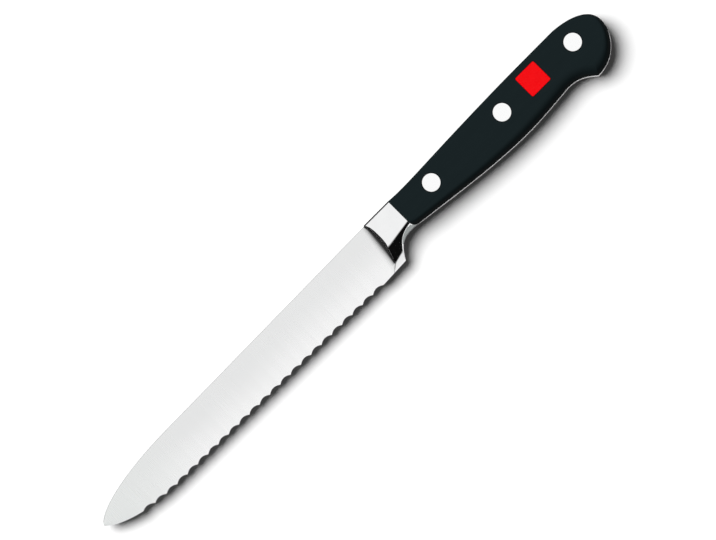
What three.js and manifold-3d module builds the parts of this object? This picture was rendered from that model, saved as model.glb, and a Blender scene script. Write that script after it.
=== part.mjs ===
// Serrated slicing knife: a forged blade with full tang, two handle scales, three two-part rivets, an inlay.
// Lengths are in millimetres. The knife lies on its side: +X to the butt, +Y to the spine, +Z up.
// While it is built, x = 0 is the shoulder behind the bolster, y = 0 the height of the front rivet
// and z = 0 the middle plane of the blade.
import * as THREE from 'three';
import { mergeVertices } from 'three/addons/utils/BufferGeometryUtils.js';
import Module from 'manifold-3d';

const wasm = await Module();
wasm.setup();

// Driving dimensions of the blade
const bladeLength = 140;
const spineAtBolster = 6.15;
const spineFall = 0.0125;
const spineTipRun = 38;
const spineTipTurn = 0.99;
const edgeAtLastTooth = -13.3;
const edgeRise = 0.0175;
const edgeTipRun = 29;
const edgeTipTurn = 0.95;
const edgeAtHeel = -12.8;
const pointHeight = -3.45;
const pointBluntness = 0.45;
const spineThickness = 2.2;
const spineThicknessAtPoint = 1.0;
const edgeThickness = 0.5;
const edgeSharpness = 0.08;
const edgeBevel = 2.0;

// Driving dimensions of the serration
const plainTip = 13.35;
const plainHeel = 10.65;
const toothPitch = 5.05;
const scallopDepth = 0.95;

// Driving dimensions of the bolster and its finger guard
const bolsterLength = 11.2;
const heelFromCheek = 1.1;
const cheekBow = 0.62;
const cheekBowTurn = 4;
const cheekLean = 0.8;
const cheekLeanTurn = 6;
const cheekBottomAtShoulder = -4.04;
const cheekBottomAtFront = -5.0;
const guardSweep = 3;
const guardRounding = 0.6;
const guardRoundingFade = 1.3;
const guardEdgeThickness = 0.9;
const lowerBevelSlope = 1.02;
const lowerBevelStart = 3;
const heelFacetHeight = 2.4;
const heelFacetThickness = 1.98;
const bevelLean = 0.36;
const facetLean = 1.2;
const neckStartAtSpine = 1.9;
const neckStartAtEdge = 3.75;
const neckRunAtEdge = 0.4;
const neckHollow = 4.5;
const neckBurial = 0.05;

// Driving dimensions of the handle
const handleLength = 98.4;
const handleThickness = 13;
const tangThickness = 3;
const waistFromShoulder = 9;
const waistTop = 5.95;
const swellFromShoulder = 34;
const swellTop = 6.85;
const backFromShoulder = 58;
const backTop = 7.43;
const crownFromButt = 15.4;
const crownTop = 7.55;
const buttPeak = -1.6;
const hookFromButt = 14.6;
const hookBottom = -15.0;
const notchFromButt = 25.1;
const notchBottom = -10.46;
const bellyFromShoulder = 53;
const bellyBottom = -11.8;
const throatFromShoulder = 31;
const throatBottom = -10.55;
const handleFrontBottom = -6.6;

// Driving dimensions of the scales' rounded borders: how far they step in, and how square they stay
const topRounding = 0.8;
const topSquareness = 5;
const bottomRounding = 4.0;
const bottomSquareness = 2;
const buttRounding = 2.0;
const scaleCornerLength = 2.7;
const scaleCornerClearance = 0.12;

// Pulls of the butt's and the hook's curves on their end points
const buttTopPull = 0.52;
const buttTopFall = 0.5;
const buttUpperPull = 0.33;
const buttLowerPull = 0.44;
const hookRearPull = 0.63;
const hookFrontPull = 0.22;
const hookFrontRise = 0.4;
const notchPull = 0.46;

// Driving dimensions of the rivets and the inlay
const rivetFromShoulder = 15.5;
const rivetFromButt = 12.9;
const rivetLineFall = 0.004;
const rivetHeadDiameter = 6.65;
const rivetHeadThickness = 1.8;
const rivetHeadClearance = 0.15;
const shankDiameter = 4.0;
const shankClearance = 0.3;
const shankEndClearance = 0.4;
const pinDiameter = 2.4;
const pinClearance = 0.15;
const inlayLength = 9.05;
const inlayHeight = 9.05;
const inlayCorner = 0.65;
const inlayThickness = 1.0;
const inlayClearance = 0.12;
const inlayFromRivet = 16;
const inlayLift = 0.43;

// Fineness of the facets
const roundSegments = 32;
const cornerSegments = 12;
const scallopSteps = 8;
const tipSteps = 14;
const roundingSteps = [0, 0.45, 0.75, 0.92, 1];
const neckSteps = [1, 0.8, 0.6, 0.42, 0.26, 0.12, 0];
const guardSteps = [1, 0.93, 0.86, 0.78, 0.68, 0.56, 0.42, 0.22, 0];
const lowerBevelStep = 0.35;

// Worked-out places
const cheekFront = -bolsterLength;
const heel = heelFromCheek - bolsterLength;
const point = cheekFront - bladeLength;
const firstTooth = point + plainTip;
const lastTooth = cheekFront - plainHeel;
const scallopCount = Math.round((lastTooth - firstTooth) / toothPitch);
const scallopLength = (lastTooth - firstTooth) / scallopCount;
const frontRounding = cheekBottomAtShoulder - handleFrontBottom;
const halfHandle = handleThickness / 2;
const halfTang = tangThickness / 2;
const rearRivet = handleLength - rivetFromButt;
const middleRivet = (rivetFromShoulder + rearRivet) / 2;
const rivetPlaces = { front: rivetFromShoulder, middle: middleRivet, rear: rearRivet };
const headSeat = halfHandle - rivetHeadThickness;
const shankHoleDiameter = shankDiameter + 2 * shankClearance;

const steel = new THREE.MeshStandardMaterial({ color: 0xd5d8da, roughness: 0.3, metalness: 1 });
const scalePlastic = new THREE.MeshStandardMaterial({ color: 0x1b2325, roughness: 0.45, metalness: 0 });
const rivetSteel = new THREE.MeshStandardMaterial({ color: 0xe6e8e9, roughness: 0.2, metalness: 1 });
const inlayRed = new THREE.MeshStandardMaterial({ color: 0xd01018, roughness: 0.3, metalness: 0 });

// Mixes two numbers: share 0 gives the first, share 1 the second.
function mix(first, second, share) {
  return first + (second - first) * share;
}

function at(x, y) {
  return new THREE.Vector2(x, y);
}

// A closed solid from a three.js geometry.
function solid(geometry) {
  geometry.deleteAttribute('normal');
  geometry.deleteAttribute('uv');
  const merged = mergeVertices(geometry);
  const vertProperties = new Float32Array(merged.attributes.position.array);
  const triVerts = new Uint32Array(merged.index.array);
  return new wasm.Manifold(new wasm.Mesh({ numProp: 3, vertProperties, triVerts }));
}

// A named mesh of a finished solid.
function piece(name, body, material) {
  const result = body.getMesh();
  const geometry = new THREE.BufferGeometry();
  geometry.setAttribute('position', new THREE.BufferAttribute(new Float32Array(result.vertProperties), 3));
  geometry.setIndex(new THREE.BufferAttribute(new Uint32Array(result.triVerts), 1));
  geometry.computeVertexNormals();
  const mesh = new THREE.Mesh(geometry, material);
  mesh.name = name;
  return mesh;
}

// A closed solid through rings of equally many points, capped at both ends.
// flatten gives a point's two coordinates in the plane of the caps.
function loft(rings, flatten) {
  const size = rings[0].length;
  const faces = [];
  for (let ring = 0; ring + 1 < rings.length; ring++) {
    for (let side = 0; side < size; side++) {
      const next = (side + 1) % size;
      const low = ring * size;
      const high = low + size;
      faces.push([low + side, low + next, high + next], [low + side, high + next, high + side]);
    }
  }
  const last = (rings.length - 1) * size;
  for (const [a, b, c] of THREE.ShapeUtils.triangulateShape(rings[0].map(flatten), [])) {
    faces.push([a, c, b]);
  }
  for (const [a, b, c] of THREE.ShapeUtils.triangulateShape(rings.at(-1).map(flatten), [])) {
    faces.push([last + a, last + b, last + c]);
  }
  const positions = rings.flat().flatMap((corner) => corner.toArray());
  const geometry = new THREE.BufferGeometry();
  geometry.setAttribute('position', new THREE.Float32BufferAttribute(positions, 3));
  geometry.setIndex(faces.flat());
  return solid(geometry);
}

// A flat shape with its own origin at x and y, standing on the plane z = bottom, up to z = top.
function slab(shape, bottom, top, x = 0, y = 0) {
  const options = { depth: top - bottom, bevelEnabled: false, curveSegments: cornerSegments };
  const geometry = new THREE.ExtrudeGeometry(shape, options);
  geometry.translate(x, y, bottom);
  return solid(geometry);
}

// The line of the rivets falls slightly toward the butt.
function rivetHeight(x) {
  return rivetLineFall * (rivetFromShoulder - x);
}

// A round bar along Z on the line of the rivets.
function bar(x, diameter, bottom, top) {
  const geometry = new THREE.CylinderGeometry(diameter / 2, diameter / 2, top - bottom, roundSegments);
  geometry.rotateX(Math.PI / 2);
  geometry.translate(x, rivetHeight(x), (bottom + top) / 2);
  return solid(geometry);
}

// How far a line has left its straight run in the bend at the point: 0 before it, 1 at the point.
// The bend follows an ellipse up to a share, turn, of its quarter, so that the point stays sharp.
function tipBend(x, run, turn) {
  const share = turn * Math.min(1, Math.max(0, 1 - (x - point) / run));
  return (1 - Math.sqrt(1 - share * share)) / (1 - Math.sqrt(1 - turn * turn));
}

function spineHeight(x) {
  const straight = spineAtBolster - spineFall * Math.max(0, cheekFront - x);
  const drop = spineAtBolster - spineFall * bladeLength - pointHeight - pointBluntness / 2;
  return straight - drop * tipBend(x, spineTipRun, spineTipTurn);
}

// The line through the tips of the teeth, and on to the heel.
function toothLine(x) {
  if (x > lastTooth) {
    return mix(edgeAtLastTooth, edgeAtHeel, Math.min(1, (x - lastTooth) / (heel - lastTooth)));
  }
  const straight = edgeAtLastTooth + edgeRise * (lastTooth - x);
  const rise = pointHeight - pointBluntness / 2 - edgeAtLastTooth - edgeRise * (lastTooth - point);
  return straight + rise * tipBend(x, edgeTipRun, edgeTipTurn);
}

// The edge: a shallow arch between the tips of two teeth, and plain at the point and the heel.
function edgeHeight(x) {
  const place = (x - firstTooth) / scallopLength;
  const share = place > 0 && place < scallopCount ? place - Math.floor(place) : 0;
  return toothLine(x) + scallopDepth * 4 * share * (1 - share);
}

function bladeHalfThickness(x, y) {
  const spine = mix(spineThickness, spineThicknessAtPoint, (cheekFront - x) / bladeLength);
  const share = (y - edgeHeight(x)) / (spineHeight(x) - edgeHeight(x));
  return mix(edgeThickness, spine, share) / 2;
}

// The places along the blade where it has a section: close together at the point and in the scallops.
function bladeStations() {
  const stations = [];
  for (let step = 0; step < tipSteps; step++) {
    stations.push(point + plainTip * (1 - Math.cos((step / tipSteps) * Math.PI / 2)));
  }
  for (let step = 0; step <= scallopCount * scallopSteps; step++) {
    stations.push(firstTooth + (step / scallopSteps) * scallopLength);
  }
  stations.push(cheekFront - neckStartAtEdge, mix(cheekFront, heel, 1 / 2));
  return stations;
}

// The blade: flat on the near side, hollowed by the scallops' bevel on the far side.
function bladeSolid() {
  const rings = bladeStations().map((x) => {
    const low = edgeHeight(x);
    const high = spineHeight(x);
    const bevelTop = low + Math.min(edgeBevel, (high - low) / 2);
    const nearEdge = bladeHalfThickness(x, low);
    const spine = bladeHalfThickness(x, high);
    return [
      new THREE.Vector3(x, bevelTop, -bladeHalfThickness(x, bevelTop)),
      new THREE.Vector3(x, high, -spine),
      new THREE.Vector3(x, high, spine),
      new THREE.Vector3(x, low, nearEdge),
      new THREE.Vector3(x, low, nearEdge - edgeSharpness),
    ];
  });
  return loft(rings, (corner) => at(corner.y, corner.z));
}

// How far a rounded border steps in at a height between 0, the tang, and 1, the outer face.
function borderInset(rounding, height, squareness) {
  return rounding * (1 - (1 - height ** squareness) ** (1 / squareness));
}

// The half width of the bolster at a height y: a flat cheek, the lower bevel, and the facet at the heel.
function cheekHalfWidth(y, cheekBottom, slope) {
  const sloped = halfHandle - slope * Math.max(0, cheekBottom - y);
  const facetShare = Math.min(1, (y - edgeAtHeel) / heelFacetHeight);
  return Math.max(sloped, mix(guardEdgeThickness, heelFacetThickness, facetShare) / 2);
}

// One side of the bolster's section, from its bottom to its top, as pairs of y and half width.
// share is 0 at the shoulder and 1 at the heel.
function bolsterSide(share) {
  const bottom = mix(handleFrontBottom, edgeAtHeel, share ** guardSweep);
  const rounding = mix(frontRounding, guardRounding, Math.min(1, share * guardRoundingFade));
  const edge = mix(halfTang, guardEdgeThickness / 2, share);
  const cheekBottom = mix(cheekBottomAtShoulder, cheekBottomAtFront, share);
  const slope = lowerBevelSlope * Math.min(1, share * lowerBevelStart);
  const side = roundingSteps.map((height) => {
    const y = bottom + borderInset(rounding, height, bottomSquareness);
    return [y, mix(edge, cheekHalfWidth(y, cheekBottom, slope), height)];
  });
  const bevelBottom = bottom + rounding;
  const bevelTop = Math.max(cheekBottom, bevelBottom + topRounding);
  const between = mix(bevelBottom, bevelTop, lowerBevelStep);
  side.push([between, cheekHalfWidth(between, cheekBottom, slope)], [bevelTop, halfHandle]);
  for (const height of roundingSteps.toReversed()) {
    const y = spineAtBolster - borderInset(topRounding, height, topSquareness);
    side.push([y, mix(halfTang, halfHandle, height)]);
  }
  return side;
}

// A closed ring of the bolster from one side's points, with x as a function of y.
function bolsterRing(side, xAt) {
  const near = side.map(([y, half]) => new THREE.Vector3(xAt(y), y, half));
  const far = side.map(([y, half]) => new THREE.Vector3(xAt(y), y, -half));
  return [...far, ...near.toReversed()];
}

// The front edge of the bolster: bowed along the cheek, leaning forward near the spine and again down to
// the heel's edge.
function bolsterFront(y) {
  const cheekHeight = spineAtBolster - cheekBottomAtFront;
  const facetTop = edgeAtHeel + heelFacetHeight;
  const up = Math.max(0, (y - cheekBottomAtFront) / cheekHeight);
  const bow = cheekBow * (1 - Math.abs(2 * up - 1) ** cheekBowTurn) - cheekLean * up ** cheekLeanTurn;
  const onBevel = Math.max(0, cheekBottomAtFront - Math.max(y, facetTop));
  const onFacet = Math.max(0, facetTop - y);
  return cheekFront + bow - bevelLean * onBevel - facetLean * onFacet;
}

// Where a height y of the neck lies: step is 1 where it leaves the blade and 0 at the bolster's front edge.
function neckX(y, step) {
  const down = (spineAtBolster - y) / (spineAtBolster - edgeAtHeel);
  const start = cheekFront - mix(neckStartAtSpine, neckStartAtEdge, down);
  const run = Math.max(neckRunAtEdge, bolsterFront(y) - start);
  return bolsterFront(y) - step * run;
}

// The bolster: a hollow neck that grows out of the blade, flat cheeks, and the lower bevel to the guard.
function bolsterSolid() {
  const heelSide = bolsterSide(1);
  const neck = neckSteps.map((step) => {
    const side = heelSide.map(([y, half]) => {
      const buried = bladeHalfThickness(neckX(y, step), y) - neckBurial;
      return [y, mix(buried, half, (1 - step) ** neckHollow)];
    });
    return bolsterRing(side, (y) => neckX(y, step));
  });
  const guard = guardSteps.map((share) => bolsterRing(bolsterSide(share), () => heel * share));
  return loft([...neck, ...guard], (corner) => at(corner.y, corner.z));
}

// The stretches of the handle's side outline, from the front of its back round the butt to the front of
// its belly, each with the rounding and squareness of the scales' border at its two ends.
function handleStretches() {
  const notch = at(handleLength - notchFromButt, notchBottom);
  const hook = at(handleLength - hookFromButt, hookBottom);
  const crown = at(handleLength - crownFromButt, crownTop);
  const buttEnd = at(handleLength, buttPeak);
  const back = new THREE.SplineCurve([
    at(0, spineAtBolster),
    at(waistFromShoulder, waistTop),
    at(swellFromShoulder, swellTop),
    at(backFromShoulder, backTop),
    crown,
  ]);
  const buttTop = new THREE.CubicBezierCurve(
    crown,
    at(mix(crown.x, handleLength, buttTopPull), crownTop - buttTopFall),
    at(handleLength, mix(crownTop, buttPeak, buttUpperPull)),
    buttEnd,
  );
  const buttBottom = new THREE.CubicBezierCurve(
    buttEnd,
    at(handleLength, mix(buttPeak, hookBottom, buttLowerPull)),
    at(mix(hook.x, handleLength, hookRearPull), hookBottom),
    hook,
  );
  const hookFront = new THREE.CubicBezierCurve(
    hook,
    at(mix(hook.x, notch.x, hookFrontPull), mix(hookBottom, notchBottom, hookFrontRise)),
    at(mix(hook.x, notch.x, notchPull), notchBottom),
    notch,
  );
  const belly = new THREE.SplineCurve([
    notch,
    at(bellyFromShoulder, bellyBottom),
    at(throatFromShoulder, throatBottom),
    at(0, handleFrontBottom),
  ]);
  const top = { rounding: topRounding, squareness: topSquareness };
  const butt = { rounding: buttRounding, squareness: bottomSquareness };
  const bottom = { rounding: bottomRounding, squareness: bottomSquareness };
  const front = { rounding: frontRounding, squareness: bottomSquareness };
  return [
    { curve: back, steps: 12, from: top, to: top },
    { curve: buttTop, steps: 10, from: top, to: butt },
    { curve: buttBottom, steps: 10, from: butt, to: butt },
    { curve: hookFront, steps: 8, from: butt, to: bottom },
    { curve: belly, steps: 14, from: bottom, to: front },
  ];
}

// The outline's points. Each carries how far and how squarely the scales' border is rounded there, and
// the direction in which it steps in: straight up or down at the front, square to the outline elsewhere.
function handleOutline() {
  const points = [{ corner: at(0, spineAtBolster), rounding: topRounding, squareness: topSquareness }];
  for (const { curve, steps, from, to } of handleStretches()) {
    for (let step = 1; step <= steps; step++) {
      const share = step / steps;
      points.push({
        corner: curve.getPoint(share),
        rounding: mix(from.rounding, to.rounding, share),
        squareness: mix(from.squareness, to.squareness, share),
      });
    }
  }
  for (let index = 1; index + 1 < points.length; index++) {
    const along = points[index + 1].corner.clone().sub(points[index - 1].corner).normalize();
    points[index].inward = at(along.y, -along.x);
  }
  points[0].inward = at(0, -1);
  points.at(-1).inward = at(0, 1);
  return points;
}

const outline = handleOutline();

// One handle scale before its holes: its border is rounded from the tang out to the flat face.
function scaleBlank(side) {
  const rings = roundingSteps.map((height) => outline.map(({ corner, rounding, squareness, inward }) => {
    const place = corner.clone().addScaledVector(inward, borderInset(rounding, height, squareness));
    return new THREE.Vector3(place.x, place.y, side * mix(halfTang, halfHandle, height));
  }).reverse());
  return loft(side > 0 ? rings : rings.toReversed(), (corner) => at(corner.x, corner.y));
}

// The rounded corner under the front of the scales, which the bolster's steel fills.
function frontCorner(clearance) {
  const bottomSlope = outline.at(-2).corner.clone().sub(outline.at(-1).corner);
  const bottom = handleFrontBottom + scaleCornerLength * bottomSlope.y / bottomSlope.x;
  const centre = at(scaleCornerLength, cheekBottomAtShoulder);
  const length = scaleCornerLength - clearance;
  const height = centre.y - bottom - clearance;
  const below = bottom - bottomRounding;
  const shape = new THREE.Shape();
  shape.moveTo(-scaleCornerLength, centre.y);
  shape.lineTo(-scaleCornerLength, below);
  shape.lineTo(centre.x, below);
  shape.lineTo(centre.x, centre.y - height);
  shape.absellipse(centre.x, centre.y, length, height, -Math.PI / 2, -Math.PI, true);
  return slab(shape, -handleThickness, handleThickness);
}

function tangSolid() {
  const shape = new THREE.Shape(outline.map(({ corner }) => corner));
  const root = heel / 3;
  shape.lineTo(root, handleFrontBottom / 2);
  shape.lineTo(root, spineAtBolster / 2);
  return slab(shape, -halfTang, halfTang);
}

// The blade, bolster and tang are one piece of steel.
function forging(nearBlank, farBlank) {
  const underScales = nearBlank.add(farBlank).intersect(frontCorner(0));
  let body = bladeSolid().add(bolsterSolid()).add(tangSolid()).add(underScales);
  for (const x of Object.values(rivetPlaces)) {
    body = body.subtract(bar(x, shankHoleDiameter, -handleThickness, handleThickness));
  }
  return body;
}

// A scale with its rivet holes: a counterbore for the head and a clear hole for the shank.
function drilled(blank, side) {
  let body = blank.subtract(frontCorner(scaleCornerClearance));
  const mouth = side > 0 ? [headSeat, handleThickness] : [-handleThickness, -headSeat];
  for (const x of Object.values(rivetPlaces)) {
    body = body.subtract(bar(x, rivetHeadDiameter + 2 * rivetHeadClearance, ...mouth));
    body = body.subtract(bar(x, shankHoleDiameter, -handleThickness, handleThickness));
  }
  return body;
}

// The inlay's plate, or its pocket with a clearance all round.
function inlayPlate(clearance, top) {
  const right = inlayLength / 2 - inlayCorner;
  const high = inlayHeight / 2 - inlayCorner;
  const radius = inlayCorner + clearance;
  const shape = new THREE.Shape();
  shape.absarc(right, high, radius, 0, Math.PI / 2);
  shape.absarc(-right, high, radius, Math.PI / 2, Math.PI);
  shape.absarc(-right, -high, radius, Math.PI, Math.PI * 3 / 2);
  shape.absarc(right, -high, radius, Math.PI * 3 / 2, Math.PI * 2);
  return slab(shape, halfHandle - inlayThickness, top, middleRivet + inlayFromRivet, inlayLift);
}

// Half of a rivet, turned about its own axis: the head, then the shank through scales and tang.
function rivetHalf(profile, side, x) {
  const geometry = new THREE.LatheGeometry(profile, roundSegments);
  geometry.rotateX(side * Math.PI / 2);
  geometry.translate(x, rivetHeight(x), 0);
  return solid(geometry);
}

const shankEnd = shankEndClearance - headSeat;
const headRadius = rivetHeadDiameter / 2;
const boreRadius = pinDiameter / 2 + pinClearance;
const headProfile = [at(headRadius, headSeat), at(headRadius, halfHandle), at(0, halfHandle)];
const socketProfile = [
  at(0, headSeat),
  at(boreRadius, headSeat),
  at(boreRadius, shankEnd),
  at(shankDiameter / 2, shankEnd),
  at(shankDiameter / 2, headSeat),
  ...headProfile,
];
const pinProfile = [
  at(0, shankEnd),
  at(pinDiameter / 2, shankEnd),
  at(pinDiameter / 2, headSeat),
  ...headProfile,
];

const knife = new THREE.Group();
const nearBlank = scaleBlank(1);
const farBlank = scaleBlank(-1);
const pocket = inlayPlate(inlayClearance, handleThickness);
knife.add(piece('blade_forging', forging(nearBlank, farBlank), steel));
knife.add(piece('near_scale', drilled(nearBlank, 1).subtract(pocket), scalePlastic));
knife.add(piece('far_scale', drilled(farBlank, -1), scalePlastic));
for (const [place, x] of Object.entries(rivetPlaces)) {
  knife.add(piece(`${place}_rivet_socket`, rivetHalf(socketProfile, 1, x), rivetSteel));
  knife.add(piece(`${place}_rivet_pin`, rivetHalf(pinProfile, -1, x), rivetSteel));
}
knife.add(piece('inlay', inlayPlate(0, halfHandle), inlayRed));

// The origin is under the middle of the lying knife, on the plane that it rests on.
const middle = new THREE.Box3().setFromObject(knife).getCenter(new THREE.Vector3());
knife.position.set(-middle.x, -middle.y, halfHandle);

export default knife;
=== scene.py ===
# Serrated slicing knife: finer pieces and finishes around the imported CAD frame.
# Shapes are worked out in millimetres in the knife's own frame: x = 0 is the shoulder behind the bolster,
# y = 0 the height of the front rivet and z = 0 the middle plane of the blade.
import math

import bmesh
import bpy
from mathutils import Matrix, Vector


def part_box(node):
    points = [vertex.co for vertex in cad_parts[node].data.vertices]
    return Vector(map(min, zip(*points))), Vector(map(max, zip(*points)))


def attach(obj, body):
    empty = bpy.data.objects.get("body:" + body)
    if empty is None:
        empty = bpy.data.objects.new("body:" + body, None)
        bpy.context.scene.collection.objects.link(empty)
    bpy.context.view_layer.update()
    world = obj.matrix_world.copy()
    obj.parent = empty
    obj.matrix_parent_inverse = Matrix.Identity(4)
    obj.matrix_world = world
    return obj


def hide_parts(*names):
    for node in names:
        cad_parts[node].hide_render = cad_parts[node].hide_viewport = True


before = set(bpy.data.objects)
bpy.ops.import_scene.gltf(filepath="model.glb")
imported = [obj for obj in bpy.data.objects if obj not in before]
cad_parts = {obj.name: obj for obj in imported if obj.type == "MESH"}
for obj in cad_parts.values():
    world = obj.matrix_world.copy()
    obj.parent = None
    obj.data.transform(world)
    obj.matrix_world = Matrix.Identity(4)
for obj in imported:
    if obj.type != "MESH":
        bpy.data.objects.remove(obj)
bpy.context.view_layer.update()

# Sizes and places from the frame
MM = 0.001
forging_low, forging_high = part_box("blade_forging")
scale_low, scale_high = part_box("near_scale")
head_low, head_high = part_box("front_rivet_socket")
inlay_low, inlay_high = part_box("inlay")
ORIGIN = Vector((scale_low.x, (head_low.y + head_high.y) / 2, (forging_low.z + forging_high.z) / 2))
POINT = (forging_low.x - ORIGIN.x) / MM
HANDLE_LENGTH = (scale_high.x - scale_low.x) / MM
HALF_HANDLE = (forging_high.z - ORIGIN.z) / MM
HALF_TANG = (scale_low.z - ORIGIN.z) / MM
HEAD_RADIUS = (head_high.x - head_low.x) / 2 / MM
INLAY_LENGTH = (inlay_high.x - inlay_low.x) / MM
INLAY_HEIGHT = (inlay_high.y - inlay_low.y) / MM
INLAY_THICKNESS = (inlay_high.z - inlay_low.z) / MM

# Blade
SPINE_AT_BOLSTER = 6.15
SPINE_FALL = 0.0125
SPINE_TIP_RUN = 38
SPINE_TIP_TURN = 0.99
EDGE_AT_LAST_TOOTH = -13.3
EDGE_RISE = 0.0175
EDGE_TIP_RUN = 29
EDGE_TIP_TURN = 0.95
EDGE_AT_HEEL = -12.8
POINT_HEIGHT = -3.45
POINT_BLUNTNESS = 0.45
SPINE_THICKNESS = 2.2
SPINE_THICKNESS_AT_POINT = 1.0
SPINE_EASE = 0.25
EDGE_THICKNESS = 0.5
EDGE_SHARPNESS = 0.08
EDGE_BEVEL = 2.0
PLAIN_TIP = 13.35
PLAIN_HEEL = 10.65
TOOTH_PITCH = 5.05
SCALLOP_DEPTH = 0.95

# Bolster and finger guard
BOLSTER_LENGTH = 11.2
HEEL_FROM_CHEEK = 1.1
CHEEK_BOW = 0.62
CHEEK_BOW_TURN = 4
CHEEK_LEAN = 0.8
CHEEK_LEAN_TURN = 6
CHEEK_BOTTOM_AT_SHOULDER = -4.04
CHEEK_BOTTOM_AT_FRONT = -5.0
GUARD_SWEEP = 3
GUARD_ROUNDING = 0.6
GUARD_ROUNDING_FADE = 1.3
GUARD_EDGE_THICKNESS = 1.3
LOWER_BEVEL_SLOPE = 0.97
LOWER_BEVEL_AT_SHOULDER = 0.5
FRONT_ROUNDING = 2.0
FACET_HEIGHT_AT_FRONT = 1.95
FACET_HEIGHT_AT_GUARD = 2.6
FACET_ROUNDING = 0.15
FACET_SHARE_LEAST = 0.1
FACET_SHARE_MOST = 0.6
BEVEL_LEAN = 0.33
FACET_LEAN = 1.5
NECK_START_AT_SPINE = 2.3
NECK_START_AT_EDGE = 5.4
NECK_RUN_AT_EDGE = 0.4
NECK_HOLLOW = 16
NECK_CURVE_AT_SPINE = 0.0875
NECK_CURVE_AT_EDGE = 0.045
NECK_SHALLOW_MOST = 0.7
CREASE_ROUNDING = 0.3

# Handle outline and the rounded borders of the scales
WAIST = (9, 5.95)
SWELL = (34, 6.85)
BACK = (58, 7.43)
CROWN = (HANDLE_LENGTH - 15.4, 7.55)
BUTT_END = (HANDLE_LENGTH, -1.6)
HOOK = (HANDLE_LENGTH - 14.6, -15.0)
NOTCH = (HANDLE_LENGTH - 25.1, -10.46)
BELLY = (53, -11.8)
THROAT = (31, -10.55)
HANDLE_FRONT_BOTTOM = -6.6
TOP_ROUNDING = 0.8
TOP_WALL_LEAN = 0.05
TOP_EASE = 0.55
TOP_EASE_RISE = 0.46
BOTTOM_ROUNDING = 4.2
BUTT_ROUNDING = 1.6
HOOK_ROUNDING = 4.5
SQUARE = 1
ROUND = 0
SCALE_CORNER_LENGTH = 2.7
SCALE_CORNER_CLEARANCE = 0.12
BUTT_TOP_PULL = 0.52
BUTT_TOP_FALL = 0.5
BUTT_UPPER_PULL = 0.33
BUTT_LOWER_PULL = 0.44
HOOK_REAR_PULL = 0.63
HOOK_FRONT_PULL = 0.22
HOOK_FRONT_RISE = 0.4
NOTCH_PULL = 0.46
HOOK_EASE = 4.0
TANG_CROWN = 0.2
TANG_CROWN_TOP = -4.5
TANG_CROWN_RUN = 3.5
FACE_RIM = 0.4

# Rivets and inlay
HEAD_THICKNESS = 1.8
HEAD_CLEARANCE = 0.2
HEAD_EASE = 0.18
SHANK_RADIUS = 2.0
SHANK_HOLE_RADIUS = 2.3
SHANK_END_CLEARANCE = 0.4
PIN_RADIUS = 1.2
BORE_RADIUS = 1.35
INLAY_CORNER = 0.65
INLAY_CLEARANCE = 0.12
INLAY_EASE = 0.2

# Colours of the finishes, with the painted highlight and shade of the steels, and where the steels change
STEEL_BY_SPINE = (0.84, 0.845, 0.845)
# The blade's colours by the edge and by the point are painted highlight and painted shade.
STEEL_PAINTED_BRIGHT_BY_EDGE = (0.96, 0.96, 0.96)
STEEL_PAINTED_DIM_BY_POINT = (0.82, 0.84, 0.83)
STEEL_IN_LINES = (0.7, 0.71, 0.71)
POLISHED_DEEP = (0.84, 0.845, 0.85)
POLISHED_BRIGHT = (0.9, 0.905, 0.905)
# The guard underside's dark grey is painted shade on a ground finish.
SHADED_GROUND_DARK = (0.24, 0.26, 0.255)
SHADED_GROUND_LIGHT = (0.32, 0.34, 0.335)
PLASTIC_DARK = (0.0076, 0.0128, 0.0142)
PLASTIC_LIGHT = (0.0098, 0.0162, 0.0178)
RIVET_DEEP = (0.95, 0.955, 0.955)
RIVET_BRIGHT = (0.98, 0.98, 0.98)
RED_DEEP = (0.8, 0.001, 0.003)
RED_BRIGHT = (0.88, 0.002, 0.005)
PAINTED_HIGHLIGHT_TOP = 2
PAINTED_SHADE_POINT_RUN = 50
SATIN_NECK_STEP = 0.6
GUARD_UNDERSIDE_NORMAL = -0.8
GUARD_UNDERSIDE_MARGIN = 0.05

# Order of the forging's finishes
SATIN, POLISHED, GROUND_AND_SHADED = range(3)

# Fineness of the meshes: steps along a stretch, and shares of a stretch where it needs uneven ones
TIP_STEPS = 36
SCALLOP_STEPS = 16
HEEL_STEPS = 5
ROUNDING_STEPS = 12
FACET_SHARES = (0.3, 0.6, 0.8, 0.92, 1)
BEVEL_SHARES = (0.012, 0.024, 0.04, 0.06, 0.25, 0.45, 0.65, 0.8, 0.9, 0.96, 1)
CHEEK_SHARES = (0.015, 0.04, 0.1, 0.3, 0.5, 0.7, 0.9)
GUARD_STEPS = 24
GUARD_CROWDING = 0.8
NECK_STEPS = 20
TANG_STEPS = 6
BACK_STEPS = 64
BUTT_STEPS = 40
HOOK_STEPS = 30
BELLY_STEPS = 72
TURN_STEPS = 96
CORNER_STEPS = 12
HEAD_FACE_SHARES = (0.9, 0.6, 0.3)
SMOOTH_BELOW = math.radians(32)

# Worked-out places
CHEEK_FRONT = -BOLSTER_LENGTH
HEEL = CHEEK_FRONT + HEEL_FROM_CHEEK
FIRST_TOOTH = POINT + PLAIN_TIP
LAST_TOOTH = CHEEK_FRONT - PLAIN_HEEL
SCALLOPS = round((LAST_TOOTH - FIRST_TOOTH) / TOOTH_PITCH)
SCALLOP_LENGTH = (LAST_TOOTH - FIRST_TOOTH) / SCALLOPS
SHOULDER_BEVEL_TOP = CHEEK_BOTTOM_AT_SHOULDER + LOWER_BEVEL_AT_SHOULDER
TANG_ROOT = HEEL / 3
HEAD_SEAT = HALF_HANDLE - HEAD_THICKNESS
SHANK_END = SHANK_END_CLEARANCE - HEAD_SEAT
CUT_REACH = 2 * HALF_HANDLE
RIVETS = ("front", "middle", "rear")


def mix(first, second, share):
    return first + (second - first) * share


def clamp(value):
    return min(1, max(0, value))


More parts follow.
